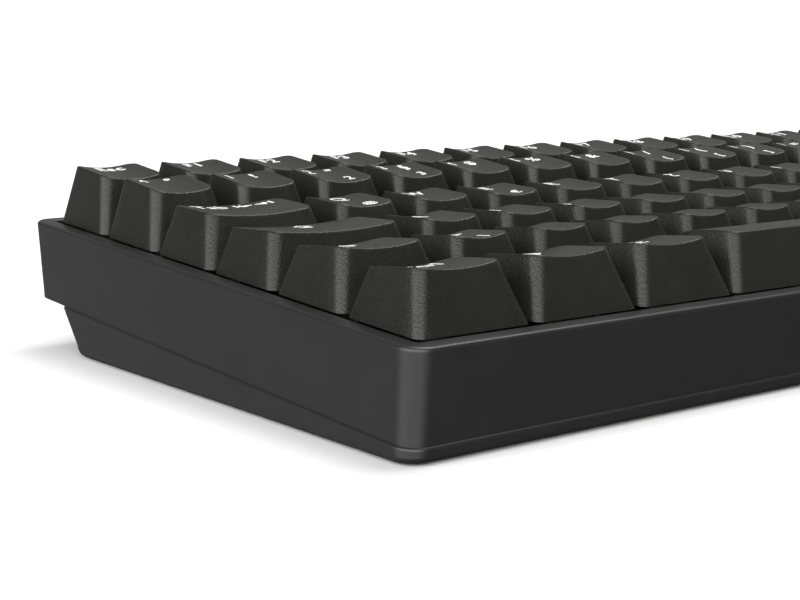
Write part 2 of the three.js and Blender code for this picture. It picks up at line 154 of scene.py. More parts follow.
def connect(target, value):
    if isinstance(value, Wire):
        target.id_data.links.new(value.socket, target)
    else:
        target.default_value = value


def add_node(tree, kind, inputs=None, **settings):
    node = tree.nodes.new(kind)
    for name, value in settings.items():
        setattr(node, name, value)
    for name, value in (inputs or {}).items():
        connect(node.inputs[name], value)
    return node


def output(node, name=0):
    return Wire(node.outputs[name])


print("arithmetic on sockets is ready")

# %% [markdown]
# Moulded plastic is never one flat colour. The mould was spark-eroded, which leaves a fine even
# grain, the sheen changes a little from place to place, and the colour drifts slightly. Four
# noises of falling size give that: one for the colour, two for the sheen, and the smallest drives
# the bump. They read Object coordinates, so they stay put on the piece from every side.

# %% Moulded plastic
COLOUR_DRIFT_MM = 9.0
SHEEN_DRIFT_MM = 3.0
SHEEN_DRIFT = 0.1
SHEEN_GRAIN = 0.06


def noise(tree, size_mm, detail=2.0):
    place = output(add_node(tree, "ShaderNodeTexCoord"), "Object")
    texture = add_node(
        tree, "ShaderNodeTexNoise",
        {"Vector": place, "Scale": 1 / (size_mm * MM), "Detail": detail},
    )
    return output(texture, "Fac")


def ramp(tree, wire, low, high):
    """Colours from low to high, as wire goes from 0.3 to 0.7."""
    node = add_node(tree, "ShaderNodeValToRGB", {"Fac": wire})
    for element, place, colour in zip(node.color_ramp.elements, (0.3, 0.7), (low, high)):
        element.position = place
        element.color = (*colour, 1)
    return output(node, "Color")


def new_material(name, **uniform):
    material = bpy.data.materials.new(name)
    material.use_nodes = True
    tree = material.node_tree
    shader = tree.nodes["Principled BSDF"]
    for socket, value in uniform.items():
        shader.inputs[socket.replace("_", " ")].default_value = value
    return material, tree, shader


def plastic(name, low, high, roughness, grain_mm, grain_depth, **uniform):
    material, tree, shader = new_material(name, **uniform)
    connect(shader.inputs["Base Color"], ramp(tree, noise(tree, COLOUR_DRIFT_MM), low, high))
    drift = noise(tree, SHEEN_DRIFT_MM) * SHEEN_DRIFT + (roughness - SHEEN_DRIFT / 2)
    connect(shader.inputs["Roughness"], drift + noise(tree, grain_mm * 1.5) * SHEEN_GRAIN)
    bump = add_node(
        tree, "ShaderNodeBump",
        {"Height": noise(tree, grain_mm), "Strength": 1.0, "Distance": grain_depth * MM},
    )
    connect(shader.inputs["Normal"], output(bump, "Normal"))
    return material


KEY_PLASTIC = plastic(
    "key_plastic", (0.0080, 0.0082, 0.0062), (0.0098, 0.0100, 0.0078), 0.32, 0.34, 0.085,
    Specular_IOR_Level=0.36)
CASE_PLASTIC = plastic(
    "case_plastic", (0.0095, 0.0095, 0.0096), (0.0110, 0.0110, 0.0111), 0.36, 0.35, 0.004,
    Specular_IOR_Level=0.45)
SWITCH_PLASTIC = plastic(
    "switch_plastic", (0.010, 0.010, 0.011), (0.015, 0.015, 0.016), 0.35, 0.5, 0.01)
RUBBER = plastic(
    "rubber", (0.008, 0.008, 0.008), (0.014, 0.014, 0.014), 0.85, 0.5, 0.06)
LEGEND_INK = plastic(
    "legend_ink", (0.62, 0.62, 0.60), (0.74, 0.74, 0.72), 0.55, 0.25, 0.01)
print(len(bpy.data.materials), "materials so far")

# %% [markdown]
# Three finishes remain. The switch plate is steel with a dark powder coat, whose droplets make a
# coarser grain. The board's lacquer is a glossy, uneven green. The port's shell and the screws are
# bright tinned steel.

# %% Painted steel, board lacquer and tinned steel
PAINTED_STEEL = plastic(
    "painted_steel", (0.030, 0.031, 0.032), (0.042, 0.043, 0.045), 0.45, 0.7, 0.05, Metallic=0.3)
BOARD_LACQUER = plastic(
    "board_lacquer", (0.006, 0.030, 0.012), (0.012, 0.060, 0.022), 0.3, 1.2, 0.03)
TINNED_STEEL = plastic(
    "tinned_steel", (0.48, 0.48, 0.49), (0.60, 0.60, 0.62), 0.28, 0.6, 0.004, Metallic=1.0)
print(len(bpy.data.materials), "materials")

# %% [markdown]
# Every piece is finished the same way: its mesh is carried into place, its faces are shaded
# smooth except across sharp edges, and it is told which body it rides on and which parts of the
# measured model it stands for.

# %% Finishing a piece
SHARP_ANGLE = math.radians(32)


def finish_piece(name, mesh, body, stands_for=(), matrix=DECK):
    mesh.transform(matrix)
    mesh.shade_smooth()
    mesh.set_sharp_from_angle(angle=SHARP_ANGLE)
    piece = bpy.data.objects.new(name, mesh)
    bpy.context.scene.collection.objects.link(piece)
    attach(piece, body)
    if stands_for:
        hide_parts(*stands_for)
    return piece


def joined_mesh(name, parts):
    """One mesh from (mesh, matrix) pairs. It keeps the materials of the first."""
    whole = bmesh.new()
    for mesh, matrix in parts:
        copy = mesh.copy()
        copy.transform(matrix)
        whole.from_mesh(copy)
        bpy.data.meshes.remove(copy)
    mesh = bpy.data.meshes.new(name)
    whole.to_mesh(mesh)
    whole.free()
    for material in parts[0][0].materials:
        mesh.materials.append(material)
    return mesh


print("edges sharper than", round(math.degrees(SHARP_ANGLE)), "degrees stay crisp")

# %% [markdown]
# A keycap is a sculpted hollow pyramid: a rounded rectangle at the skirt, a smaller one at the
# top, moved towards the back and a little narrower in front, and a top that is dished from left
# to right. The slope and the height of the top change from row to row, and the width from key to
# key, so the shape is a rule with a few sizes. That suits a Geometry Nodes tree. It bends flat
# grids into the surfaces of the cap, from the underside of the roof, down the inner walls, round
# the lip, up the outer walls, over the rounded edge and in to the middle of the top, and welds
# them.
#
# Along a grid, u goes once round the outline and v goes from one outline to the next. Each
# quarter of the outline is half a side, then a corner, then half of the next side.

# %% Round an outline
class Outline:
    """Rounded rectangles whose points all follow the same u.
    steps are the grid's columns for half a side, for a corner and for half an end."""

    def __init__(self, tree, steps):
        self.tree = tree
        self.columns = 4 * sum(steps)
        side_steps, corner_steps, end_steps = steps
        place = output(add_node(tree, "GeometryNodeInputPosition"))
        split = add_node(tree, "ShaderNodeSeparateXYZ", {0: place})
        self.u = output(split, "X") + 0.5
        self.v = output(split, "Y") + 0.5
        step = (self.u * 4).math("PINGPONG", 1.0) * sum(steps)
        self.along_side = (step / side_steps).math("MINIMUM", 1.0)
        turn = ((step - side_steps) / corner_steps).math("ADD", 0.0, clamp=True) * (math.pi / 2)
        past = (step - side_steps - corner_steps) / end_steps
        self.along_end = 1 - past.math("ADD", 0.0, clamp=True)
        self.sine = turn.math("SINE")
        self.cosine = turn.math("COSINE")
        self.side = self.u.math("LESS_THAN", 0.5) * 2 - 1
        self.end = (self.u - 0.5).math("ABSOLUTE").math("LESS_THAN", 0.25) * 2 - 1
        self.surfaces = []

    def at(self, half_width, front, back, radius):
        """The x and y of the outline with those sizes."""
        half_depth = (back - front) / 2
        x = (half_width - radius) * self.along_side + radius * self.sine
        y = (half_depth - radius) * self.along_end + radius * self.cosine
        return self.side * x, (front + back) / 2 + self.end * y

    def point(self, x, y, z):
        node = self.tree.nodes.new("ShaderNodeCombineXYZ")
        for target, value in zip(node.inputs, (x, y, z)):
            connect(target, value)
        return output(node)

    def ring(self, half_width, half_depth, radius, z):
        """The points of a centred outline at one height."""
        sizes = [value if isinstance(value, Wire) else self.number(value)
                 for value in (half_width, half_depth)]
        return self.point(*self.at(sizes[0], 0 - sizes[1], sizes[1], radius), z)

    def number(self, value):
        """A plain number as a wire, for sizes that aren't inputs of the tree."""
        node = self.tree.nodes.new("ShaderNodeValue")
        node.outputs[0].default_value = value
        return Wire(node.outputs[0])

    def add(self, rows, place):
        """Bends a grid of that many rows into a surface."""
        self.surfaces.append(bent_grid(self.tree, self.columns, rows, place))

    def turned(self, rings):
        """Closed surfaces through the rings, from the middle of the first to that of the last."""
        for low, high in zip(rings, rings[1:]):
            self.add(1, mixed(low, high, self.v))


def mixed(start, end, share):
    """The point between two points."""
    node = start.tree.nodes.new("ShaderNodeMix")
    node.data_type = "VECTOR"
    for index, value in ((0, share), (4, start), (5, end)):
        connect(node.inputs[index], value)
    return Wire(node.outputs[1])


print("outlines are ready")

# %% [markdown]
# The helpers of the next cell do what every tree needs: a named input for each size, a grid bent
# into a surface, and the last three nodes, which weld the surfaces, make instances real and give
# the material. Once a tree is on an object, its inputs are set by their identifiers, the result
# is taken as a plain mesh, and the object with the modifier is thrown away.

# %% Start, bend, close and run a tree
def start_tree(name, sizes):
    """A tree with a Material input and one input for each size. Gives the tree and its wires."""
    tree = bpy.data.node_groups.new(name, "GeometryNodeTree")
    tree.interface.new_socket("Geometry", in_out="INPUT", socket_type="NodeSocketGeometry")
    tree.interface.new_socket("Geometry", in_out="OUTPUT", socket_type="NodeSocketGeometry")
    tree.interface.new_socket("Material", in_out="INPUT", socket_type="NodeSocketMaterial")
    for size in sizes:
        tree.interface.new_socket(size, in_out="INPUT", socket_type="NodeSocketFloat")
    source = tree.nodes.new("NodeGroupInput")
    wires = {socket.name: Wire(socket) for socket in source.outputs if socket.name}
    return tree, wires


def bent_grid(tree, columns, rows, place):
    grid = add_node(tree, "GeometryNodeMeshGrid", {"Size X": 1.0, "Size Y": 1.0})
    grid.inputs["Vertices X"].default_value = columns + 1
    grid.inputs["Vertices Y"].default_value = rows + 1
    bent = add_node(
        tree, "GeometryNodeSetPosition", {"Geometry": output(grid, "Mesh"), "Position": place})
    return output(bent)


def close_tree(tree, surfaces, wires, spread=False):
    """Joins the surfaces. spread puts a copy of them on every point of the carrying mesh."""
    join = tree.nodes.new("GeometryNodeJoinGeometry")
    for surface in surfaces:
        connect(join.inputs[0], surface)
    shape = output(join)
    if spread:
        shape = output(add_node(tree, "GeometryNodeInstanceOnPoints",
                                {"Points": wires["Geometry"], "Instance": shape}))
    real = add_node(tree, "GeometryNodeRealizeInstances", {"Geometry": shape})
    weld = add_node(
        tree, "GeometryNodeMergeByDistance", {"Geometry": output(real), "Distance": 0.002})
    coat = add_node(
        tree, "GeometryNodeSetMaterial", {"Geometry": output(weld), "Material": wires["Material"]})
    target = tree.nodes.new("NodeGroupOutput")
    connect(target.inputs[0], output(coat))


def run_tree(tree, points=(), **inputs):
    """The tree's result as a plain mesh. Underscores in the names of inputs stand for spaces."""
    seed = bpy.data.meshes.new("seed")
    seed.from_pydata(list(points), [], [])
    carrier = bpy.data.objects.new("carrier", seed)
    bpy.context.scene.collection.objects.link(carrier)
    modifier = carrier.modifiers.new("shape", "NODES")
    modifier.node_group = tree
    identifiers = {s.name: s.identifier for s in tree.interface.items_tree if s.in_out == "INPUT"}
    for name, value in inputs.items():
        modifier[identifiers[name.replace("_", " ")]] = value
    graph = bpy.context.evaluated_depsgraph_get()
    mesh = bpy.data.meshes.new_from_object(carrier.evaluated_get(graph))
    carrier.modifiers.clear()
    bpy.data.objects.remove(carrier)
    bpy.data.meshes.remove(seed)
    return mesh


print("trees can be started, closed and run")

# %% [markdown]
# Now the cap itself. The outer wall is straight from the skirt to the top, as a moulded cap's is,
# and a ring of points just under its edge keeps the smooth shading of the edge off the flat wall.
# The edge is a small curve with its control point on the sharp corner. The top's height falls in
# the middle by the dish, except on the space bar, which is crowned from front to back.

# %% The keycap tree
cap_tree, size = start_tree("keycap", [
    "Half width", "Half depth", "Side inset", "Narrowing", "Front inset", "Back inset",
    "Front height", "Back height", "Dish", "Dish centre", "Dish half width", "Crown",
    "Skirt corner", "Top corner", "Edge", "Wall", "Skirt bottom", "Roof",
])
outline = Outline(cap_tree, (5, 5, 3))
half_width, half_depth = size["Half width"], size["Half depth"]
top_half_width = half_width - size["Side inset"]
top_front = size["Front inset"] - half_depth
top_back = half_depth - size["Back inset"]
top_middle = (top_front + top_back) / 2


def towards_back(y):
    """0 at the front of the top and 1 at its back."""
    return (y - top_front) / (top_back - top_front)


def narrowed(x, y):
    """Draws the front of the top's outline in."""
    return x * (1 - (1 - towards_back(y)) * size["Narrowing"] / top_half_width), y


def height_of_top(x, y):
    share = towards_back(y)
    across = (x - size["Dish centre"]) / size["Dish half width"]
    along = share * 2 - 1
    slope = size["Front height"] + (size["Back height"] - size["Front height"]) * share
    return slope - size["Dish"] * (1 - across * across) + size["Crown"] * (1 - along * along)


CORNER_SHRINK = 0.7


def cap_outlines():
    """The outlines of the skirt, of the top's sharp corner and of the top inside its edge."""
    skirt = outline.at(half_width, 0 - half_depth, half_depth, size["Skirt corner"])
    corner = outline.at(top_half_width, top_front, top_back, size["Top corner"])
    edge = size["Edge"]
    ledge = outline.at(
        top_half_width - edge, top_front + edge, top_back - edge,
        size["Top corner"] - edge * CORNER_SHRINK)
    return skirt, corner, ledge


skirt, corner, ledge = cap_outlines()
skirt_point = outline.point(*skirt, size["Skirt bottom"])
corner_point = outline.point(*narrowed(*corner), height_of_top(*corner))
below_edge = 1 - size["Edge"] / (size["Front height"] - size["Skirt bottom"])
wall_top = mixed(skirt_point, corner_point, below_edge)
ledge_point = outline.point(*narrowed(*ledge), height_of_top(*ledge))
curve = mixed(
    mixed(wall_top, corner_point, outline.v), mixed(corner_point, ledge_point, outline.v), outline.v)
top_x = ledge[0] * (1 - outline.v)
top_y = top_middle + (ledge[1] - top_middle) * (1 - outline.v)
top_point = outline.point(*narrowed(top_x, top_y), height_of_top(top_x, top_y))

rise = (size["Roof"] - size["Skirt bottom"]) / (size["Front height"] - size["Skirt bottom"])
wall = size["Wall"]
lip = outline.at(half_width - wall, wall - half_depth, half_depth - wall, size["Skirt corner"] / 2)
roof = outline.at(
    half_width - wall - size["Side inset"] * rise,
    wall - half_depth + size["Front inset"] * rise,
    half_depth - wall - size["Back inset"] * rise,
    size["Skirt corner"] / 2,
)
lip_point = outline.point(*lip, size["Skirt bottom"])
roof_point = outline.point(*roof, size["Roof"])
roof_middle = outline.point(0.0, 0.0, size["Roof"])

EDGE_ROWS = 3
TOP_ROWS = 7
SUPPORT_SHARE = 0.96
wall_support = mixed(skirt_point, wall_top, SUPPORT_SHARE)
outline.turned([roof_middle, roof_point, lip_point, skirt_point, wall_support, wall_top])
outline.add(EDGE_ROWS, curve)
outline.add(TOP_ROWS, top_point)
close_tree(cap_tree, outline.surfaces, size)
print("keycap tree:", len(cap_tree.nodes), "nodes")

# %% [markdown]
# Under the roof hangs the stem that pushes the switch: a round post, and below it the switch's
# own oblong slider, which moves with the key. Both are prisms on the same kind of outline. Their
# tree puts one on every point it is given, which will be the places of a body's switches.

# %% The stems under the caps
SLIDER_BOTTOM = -4.6
SLIDER_TOP = 1.2
SLIDER_HALF_WIDTH, SLIDER_HALF_DEPTH = 3.0, 2.3
SLIDER_CORNER = 0.5
POST_BOTTOM = 0.2
POST_TOP = 5.5
POST_RADIUS = 2.4
NEARLY_ROUND = 0.98
stem_tree, stem_size = start_tree("stem", ["Post radius", "Post top"])
stem = Outline(stem_tree, (2, 4, 1))


def add_prism(outline, half_width, half_depth, radius, bottom, top):
    """An upright prism with closed ends."""
    outline.turned([
        outline.point(0.0, 0.0, bottom),
        outline.ring(half_width, half_depth, radius, bottom),
        outline.ring(half_width, half_depth, radius, top),
        outline.point(0.0, 0.0, top),
    ])


post_radius = stem_size["Post radius"]
add_prism(stem, post_radius, post_radius, post_radius * NEARLY_ROUND, POST_BOTTOM,
          stem_size["Post top"])
add_prism(stem, SLIDER_HALF_WIDTH, SLIDER_HALF_DEPTH, SLIDER_CORNER, SLIDER_BOTTOM, SLIDER_TOP)
close_tree(stem_tree, stem.surfaces, stem_size, spread=True)


def stems_at(points):
    return run_tree(
        stem_tree, points, Material=KEY_PLASTIC, Post_radius=POST_RADIUS, Post_top=POST_TOP)


print("stem tree:", len(stem_tree.nodes), "nodes")

# %% [markdown]
# The rows differ in how far the top is set back and how high its front and back edges are. The
# tops of the front rows fall towards the back, and the number and function rows stand higher.

# %% Sizes of the caps, row by row
CAP_GAP = 0.95
SIDE_INSET = 2.4
DISH = 0.85
SPACE_CROWN = 0.5
SKIRT_BOTTOM = 0.3
WALL = 1.3
ROOF = 5.3
# Front inset, back inset, front height, back height and narrowing, front row first.
PROFILES = [
    (4.4, 1.3, 10.15, 8.2, 0.8),
    (4.4, 1.3, 10.1, 8.25, 0.7),
    (4.1, 0.9, 9.45, 8.2, 0.5),
    (4.3, 1.3, 9.5, 9.3, 0.35),
    (4.3, 1.5, 11.0, 11.85, 0.2),
    (4.4, 1.3, 11.05, 11.7, 0.2),
]


class Cap:
    """One cap's sizes, with the height of its top for what is printed there."""

    def __init__(self, row, width, depth, dish=DISH, crown=0.0, centre=0.0, profile=None):
        sizes = profile or PROFILES[row]
        self.front_inset, self.back_inset, self.front, self.back, self.narrowing = sizes
        self.half_width, self.half_depth = width / 2, depth / 2
        self.dish, self.crown, self.centre = dish, crown, centre
        self.top_half_width = self.half_width - SIDE_INSET
        self.dish_half_width = self.top_half_width + abs(centre)
        self.top_front = self.front_inset - self.half_depth
        self.top_back = self.half_depth - self.back_inset

    def height(self, x, y):
        share = (y - self.top_front) / (self.top_back - self.top_front)
        narrowing = 1 - (1 - share) * self.narrowing / self.top_half_width
        across = (x / narrowing - self.centre) / self.dish_half_width
        slope = self.front + (self.back - self.front) * share
        return slope - self.dish * (1 - across**2) + self.crown * (1 - (2 * share - 1) ** 2)

    def mesh(self):
        return run_tree(
            cap_tree, Material=KEY_PLASTIC, Half_width=self.half_width,
            Half_depth=self.half_depth, Side_inset=SIDE_INSET, Narrowing=self.narrowing,
            Front_inset=self.front_inset, Back_inset=self.back_inset,
            Front_height=self.front, Back_height=self.back,
            Dish=self.dish, Dish_centre=self.centre, Dish_half_width=self.dish_half_width,
            Crown=self.crown, Skirt_corner=1.8, Top_corner=2.1, Edge=0.25, Wall=WALL,
            Skirt_bottom=SKIRT_BOTTOM, Roof=ROOF,
        )


sample = Cap(5, UNIT - CAP_GAP, UNIT - CAP_GAP).mesh()
print("a cap has", len(sample.polygons), "faces")

# %% [markdown]
# The layout is a table: each row's keys from the left with their widths in units. About half of
# them move one by one. At the right of each row neighbours share one body, and so make one piece.
# The names are the ones that the measured model gives them.

# %% The layout
def ones(names):
    return [(name, 1) for name in names.split()]


SINGLES = [
    [("ctrl_left", 1.25), ("super", 1.25), ("alt_left", 1.25), ("space", 6.25)],
    [("shift_left", 1.25), *ones("angle y x c v")],
    [("caps_lock", 1.75), *ones("a s d f g h")],
    [("tab", 1.5), *ones("q w e r t z u")],
    ones("caret 1 2 3 4 5 6 7"),
    ones("esc f1 f2 f3 f4 f5 f6 f7 f8"),
]
GROUPS = [
    {"alt_gr_to_right_arrow": ones("alt_gr fn ctrl_right arrow_left arrow_down arrow_right")},
    {"b_to_end": [*ones("b n m comma period minus"), ("shift_right", 1.75), *ones("arrow_up end")]},
    {"j_to_hash": ones("j k l o_umlaut a_umlaut hash")},
    {
        "i_to_plus": ones("i o p u_umlaut plus"),
        "enter_to_page_down": [("enter", 1.5), ("page_up", 1)],
    },
    {"8_to_home": [*ones("8 9 0 sharp_s acute"), ("backspace", 2), *ones("home")]},
    {"f9_to_delete": ones("f9 f10 f11 f12 print pause delete")},
]
ENTER_LOWER_UNITS = 1.25
ENTER_ROW = 3


def lay_out():
    """(name, units, row, body, x, y) of every key, with its switch at x and y."""
    keys = []
    for row, (singles, groups) in enumerate(zip(SINGLES, GROUPS)):
        start = 0
        named = [("key_" + name, name, units) for name, units in singles]
        for group, members in groups.items():
            named += [("keys_" + group, name, units) for name, units in members]
        for body, name, units in named:
            x, y = (start + units / 2) * UNIT, (row + 0.5) * UNIT
            if name == "enter":
                x, y = (start + units - ENTER_LOWER_UNITS / 2) * UNIT, row * UNIT
            keys.append((name, units, row, body, x, y))
            start += units
    beside_enter = (FIELD_WIDTH - UNIT / 2, (ENTER_ROW - 0.5) * UNIT)
    keys.append(("page_down", 1, ENTER_ROW - 1, "keys_enter_to_page_down", *beside_enter))
    return keys


KEYS = lay_out()

# %% [markdown]
# Shells and cutting tools whose sections are all rounded rectangles are lofted in plain mesh code:
# a ring of points for each section, and faces from ring to ring.

# %% Lofting rings
CORNER_POINTS = 10


def ring(x0, x1, y0, y1, radius, z):
    """Points round a rounded rectangle, against the clock seen from above."""
    points = []
    corners = [(x1, y0, -1, 1), (x1, y1, -1, -1), (x0, y1, 1, -1), (x0, y0, 1, 1)]
    for quarter, (x, y, inward_x, inward_y) in enumerate(corners):
        for step in range(CORNER_POINTS + 1):
            angle = math.pi / 2 * (quarter - 1 + step / CORNER_POINTS)
            points.append((
                x + inward_x * radius + radius * math.cos(angle),
                y + inward_y * radius + radius * math.sin(angle),
                z,
            ))
    return points


def loft(name, rings, material, closed=False, capped=False):
    """A mesh through the rings: closed joins the last to the first, capped fills both ends."""
    count = len(rings[0])
    faces = []
    pairs = len(rings) if closed else len(rings) - 1
    for i in range(pairs):
        low, high = i * count, (i + 1) % len(rings) * count
        for j in range(count):
            k = (j + 1) % count
            faces.append((low + j, low + k, high + k, high + j))
    if capped:
        faces.append(tuple(reversed(range(count))))
        faces.append(tuple(range((len(rings) - 1) * count, len(rings) * count)))
    mesh = bpy.data.meshes.new(name)
    mesh.from_pydata([p for r in rings for p in r], [], faces)
    mesh.materials.append(material)
    return mesh


print(4 * (CORNER_POINTS + 1), "points in a ring")

# %% [markdown]
# The enter key fills one and a half units of its own row and one and a quarter of the row in
# front. It is two caps welded by a Boolean: a tall one and a wide one. Both lie under the same
# sloping, dished surface, so that hardly a step shows where they meet. Each brings walls that cross
# the other's hollow and would hit the switch when the key goes down, so both hollows are cut free.

# %% The two-row enter key
def enter_caps():
    """The tall cap and the wide cap, with the shift of the wide one's centre."""
    wide_width, wide_depth = 1.5 * UNIT - CAP_GAP, UNIT - CAP_GAP
    tall_width, tall_depth = ENTER_LOWER_UNITS * UNIT - CAP_GAP, 2 * UNIT - CAP_GAP
    shift = Vector(((tall_width - wide_width) / 2, UNIT / 2, 0))
    front_inset, _, front, _, narrowing = PROFILES[ENTER_ROW - 1]
    _, back_inset, _, back, _ = PROFILES[ENTER_ROW]
    tall = Cap(ENTER_ROW, tall_width, tall_depth, centre=shift.x,
               profile=(front_inset, back_inset, front, back, narrowing))
    tall.dish_half_width = wide_width / 2 - SIDE_INSET
    wide = Cap(ENTER_ROW, wide_width, wide_depth)
    wide.front = tall.height(shift.x, wide.top_front + shift.y) + DISH
    return tall, wide, shift


def boolean(mesh, cutters, operation="DIFFERENCE"):
    whole = bpy.data.objects.new("whole", mesh)
    bpy.context.scene.collection.objects.link(whole)
    tools = []
    for cutter in cutters:
        tool = bpy.data.objects.new("tool", cutter)
        bpy.context.scene.collection.objects.link(tool)
        modifier = whole.modifiers.new("boolean", "BOOLEAN")
        modifier.operation = operation
        modifier.object = tool
        tools.append(tool)
    graph = bpy.context.evaluated_depsgraph_get()
    result = bpy.data.meshes.new_from_object(whole.evaluated_get(graph))
    for thing in [whole, *tools]:
        bpy.data.objects.remove(thing)
    return result


RIB = 0.3
HOLLOW_CORNER = 0.9


def hollow(cap, shift):
    """An upright prism that fills the room under a cap's roof, down from a low rib."""
    rise = (ROOF - SKIRT_BOTTOM) / (cap.front - SKIRT_BOTTOM)
    reach = cap.half_width - WALL - SIDE_INSET * rise
    front = WALL - cap.half_depth + cap.front_inset * rise
    back = cap.half_depth - WALL - cap.back_inset * rise
    rings = [ring(shift.x - reach, shift.x + reach, shift.y + front, shift.y + back,
                  HOLLOW_CORNER, z)
             for z in (SKIRT_BOTTOM - 1, ROOF - RIB)]
    return loft("hollow", rings, KEY_PLASTIC, capped=True)


tall_cap, wide_cap, wide_shift = enter_caps()
wide_mesh = wide_cap.mesh()
wide_mesh.transform(Matrix.Translation(wide_shift))
enter_mesh = boolean(tall_cap.mesh(), [wide_mesh], "UNION")
enter_mesh = boolean(enter_mesh, [hollow(tall_cap, Vector()), hollow(wide_cap, wide_shift)])
print("the enter key has", len(enter_mesh.polygons), "faces")

# %% [markdown]
# Caps of one row and one width are alike, so each shape is made once and copied. All the caps of
# a body and the stems under them are one piece, because they move together.

# %% Every cap, one piece for each body
cap_of = {}
shapes = {}
by_body = {}
for name, units, row, body, x, y in KEYS:
    is_space = name == "space"
    if name == "enter":
        cap, kind = tall_cap, "enter"
        shapes[kind] = enter_mesh
    else:
        cap = Cap(row, units * UNIT - CAP_GAP, UNIT - CAP_GAP,
                  dish=0.0 if is_space else DISH, crown=SPACE_CROWN if is_space else 0.0)
        kind = (row, units, is_space)
    if kind not in shapes:
        shapes[kind] = cap.mesh()
    cap_of[name] = cap
    by_body.setdefault(body, []).append((shapes[kind], Matrix.Translation((x, y, 0))))
for body, parts in by_body.items():
    stems = stems_at([(x, y, 0) for _, _, _, rides_on, x, y in KEYS if rides_on == body])
    parts.append((stems, Matrix.Identity(4)))
    finish_piece("cap" + body[3:], joined_mesh(body, parts), body, [body])
print(len(shapes), "shapes of cap make", len(by_body), "pieces")

# %% [markdown]
# The legends are printed on the caps near their back edges. A main character with no shifted one
# beside it is centred. Otherwise it is at the left and the shifted one at the right, and a third
# one stands in front, at the right. Each is a text turned into a mesh, a few hundredths of a
# millimetre thick. It is sliced into narrow strips, so that it can bend, and laid on the dished
# top.

# %% What the legends say
LEGENDS = {
    "esc": ["Esc"], "print": ["Print"], "pause": ["Pause"], "delete": ["Del"],
    "caret": ["^", "°"], "1": ["1", "!"], "2": ["2", '"', "2"], "3": ["3", "§", "3"],
    "4": ["4", "$"], "5": ["5", "%"], "6": ["6", "&"], "7": ["7", "/", "{"],
    "8": ["8", "(", "["], "9": ["9", ")", "]"], "0": ["0", "=", "}"],
    "sharp_s": ["ß", "?", "\\"], "acute": ["´", "`"], "backspace": ["←"], "home": ["Home"],
    "tab": ["Tab ⇤⇥"], "q": ["Q", "", "@"], "e": ["E", "", "€"], "u_umlaut": ["Ü"],
    "plus": ["+", "*", "~"], "enter": ["↵"], "page_up": ["Pg↑"], "page_down": ["Pg↓"],
    "caps_lock": ["⇪"], "o_umlaut": ["Ö"], "a_umlaut": ["Ä"], "hash": ["#", "'"],
    "shift_left": ["⇧"], "angle": ["<", ">", "|"], "m": ["M", "", "µ"],
    "comma": [",", ";"], "period": [".", ":"], "minus": ["-", "_"], "shift_right": ["⇧"],
    "arrow_up": ["↑"], "arrow_left": ["←"], "arrow_down": ["↓"], "arrow_right": ["→"],
    "end": ["End"], "ctrl_left": ["Ctrl"], "super": ["◆"], "alt_left": ["Alt"],
    "alt_gr": ["AltGr"], "fn": ["Fn"], "ctrl_right": ["Ctrl"], "space": [],
}


def legends_of(name):
    return LEGENDS.get(name, [name.upper()])


print(sum(len(legends_of(key[0])) for key in KEYS), "legends")

# %% Print them
CAPITAL_MM = 3.1
INK_MM = 0.015
BOLD_MM = 0.08
LETTER_SPACING = 1.1
STRIP_MM = 0.8
BACK_MARGIN = 1.0
FRONT_MARGIN = 2.0
LEFT_COLUMN = -3.2
RIGHT_COLUMN = 2.3
THIRD_SCALE = 0.8
SMALLER = {"@": 0.85}
FONT_CAPITAL = 0.729  # height of a capital letter in the built-in font, for a text of size 1
texts = {}


def text_mesh(words):
    """A thin text, its baseline's middle at the origin, cut into narrow strips."""
    if words in texts:
        return texts[words]
    curve = bpy.data.curves.new("legend", "FONT")
    curve.body = words
    curve.size = CAPITAL_MM / FONT_CAPITAL
    curve.extrude = INK_MM
    curve.offset = BOLD_MM
    curve.space_character = LETTER_SPACING
    curve.resolution_u = 3
    carrier = bpy.data.objects.new("legend", curve)
    bpy.context.scene.collection.objects.link(carrier)
    graph = bpy.context.evaluated_depsgraph_get()
    mesh = bpy.data.meshes.new_from_object(carrier.evaluated_get(graph))
    bpy.data.objects.remove(carrier)
    work = bmesh.new()
    work.from_mesh(mesh)
    bmesh.ops.remove_doubles(work, verts=work.verts, dist=0.001)
    low = min(v.co.x for v in work.verts)
    width = max(v.co.x for v in work.verts) - low
    bmesh.ops.translate(work, verts=work.verts, vec=(-low - width / 2, 0, 0))
    for step in range(1, math.ceil(width / STRIP_MM)):
        everything = work.verts[:] + work.edges[:] + work.faces[:]
        bmesh.ops.bisect_plane(
            work, geom=everything, plane_co=(step * STRIP_MM - width / 2, 0, 0),
            plane_no=(1, 0, 0))
    bmesh.ops.triangulate(work, faces=[f for f in work.faces if len(f.verts) > 4])
    work.to_mesh(mesh)
    work.free()
    texts[words] = mesh
    return mesh


def printed(cap, words, place, alone, key_x, key_y):
    """The legend laid on the cap's top, in the sloping frame."""
    mesh = text_mesh(words).copy()
    back = cap.top_back - BACK_MARGIN - CAPITAL_MM
    front = cap.top_front + FRONT_MARGIN
    x, y = [(0 if alone else LEFT_COLUMN, back), (RIGHT_COLUMN, back), (RIGHT_COLUMN, front)][place]
    scale = SMALLER.get(words, 1) * (THIRD_SCALE if place == 2 else 1)
    for vertex in mesh.vertices:
        px, py = vertex.co.x * scale + x, vertex.co.y * scale + y
        lift = vertex.co.z + INK_MM
        vertex.co = (px + key_x, py + key_y, cap.height(px, py) + lift)
    return mesh


